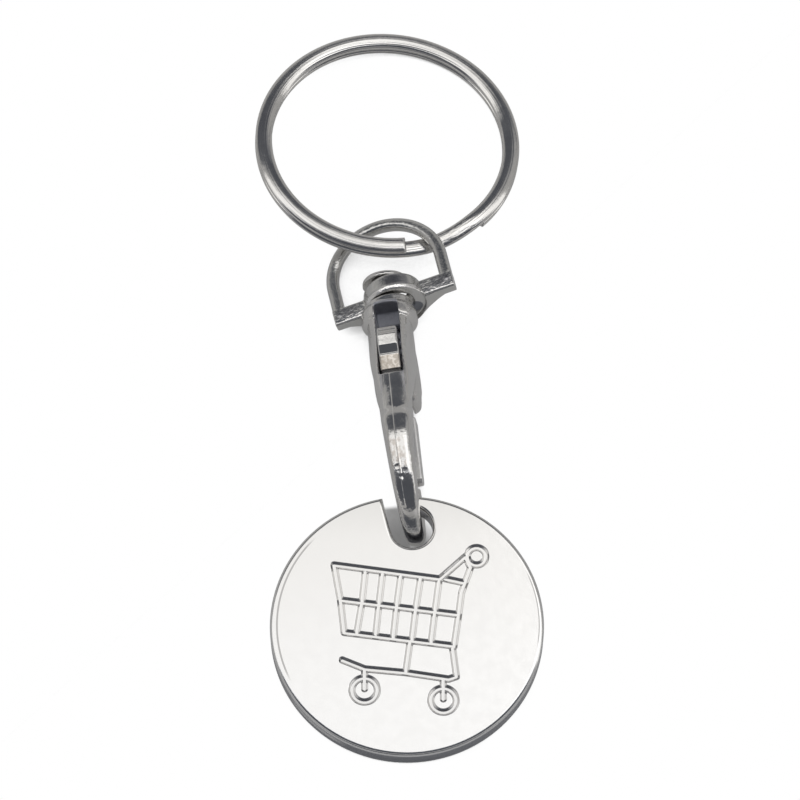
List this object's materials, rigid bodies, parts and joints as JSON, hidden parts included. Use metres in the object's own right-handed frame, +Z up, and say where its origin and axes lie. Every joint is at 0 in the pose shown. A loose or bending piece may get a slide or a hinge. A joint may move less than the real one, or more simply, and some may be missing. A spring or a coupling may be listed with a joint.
{
  "type": "trolley coin keyring",
  "caption": "Polished metal keyring: a split ring, a swivelling D loop, a trigger snap hook and a slotted coin stamped with a shopping trolley outline.",
  "frame": {"origin": "on the table the keyring lies on, under the middle of its outline", "axes": "+Z up from the table, +Y along the keyring from the coin to the split ring, +X to the right with the coin at the front"},
  "size_m": [0.025, 0.0714, 0.0077],
  "materials": {
    "coin_plate": "polished nickel plate with a darker, rounded edge",
    "hook_casting": "polished nickel plate on a casting, slightly wavy",
    "lever_casting": "polished nickel plate on a casting",
    "pin_steel": "plain steel",
    "spring_wire": "drawn spring wire",
    "loop_casting": "polished nickel plate on a casting",
    "ring_wire": "bright nickel plated steel strip"
  },
  "bodies": {
    "hook": {"hook_body": "hook_casting", "pivot_pin": "pin_steel", "gate_spring": "spring_wire"},
    "lever": {"gate_lever": "lever_casting"},
    "loop": {"swivel_loop": "loop_casting"},
    "ring": {"split_ring": "ring_wire"},
    "coin": {"coin": "coin_plate"}
  },
  "joints": [
    {"name": "loop_swivel", "type": "hinge", "parent": "hook", "child": "loop", "pos_m": [-0.00013, 0.00766, 0.00273], "axis": [-0.2008, 0.9697, -0.1392], "continuous": true},
    {"name": "ring_turn", "type": "hinge", "parent": "loop", "child": "ring", "pos_m": [-0.00063, 0.02384, 0.00188], "axis": [0, 0.9974, -0.0715], "range_deg": [0, 130]},
    {"name": "gate_open", "type": "hinge", "parent": "hook", "child": "lever", "pos_m": [0.00049, -0.00225, 0.00143], "axis": [-0.9841, -0.0986, -0.1477], "range_deg": [0, 30], "stiffness_Nm_per_rad": 0.0006, "springref_deg": -45.84, "deforming": ["gate_spring"]},
    {"name": "coin_swing", "type": "hinge", "parent": "hook", "child": "coin", "pos_m": [0.00131, -0.01262, 0.00288], "axis": [1, 0, 0], "range_deg": [-60, 35]}
  ]
}
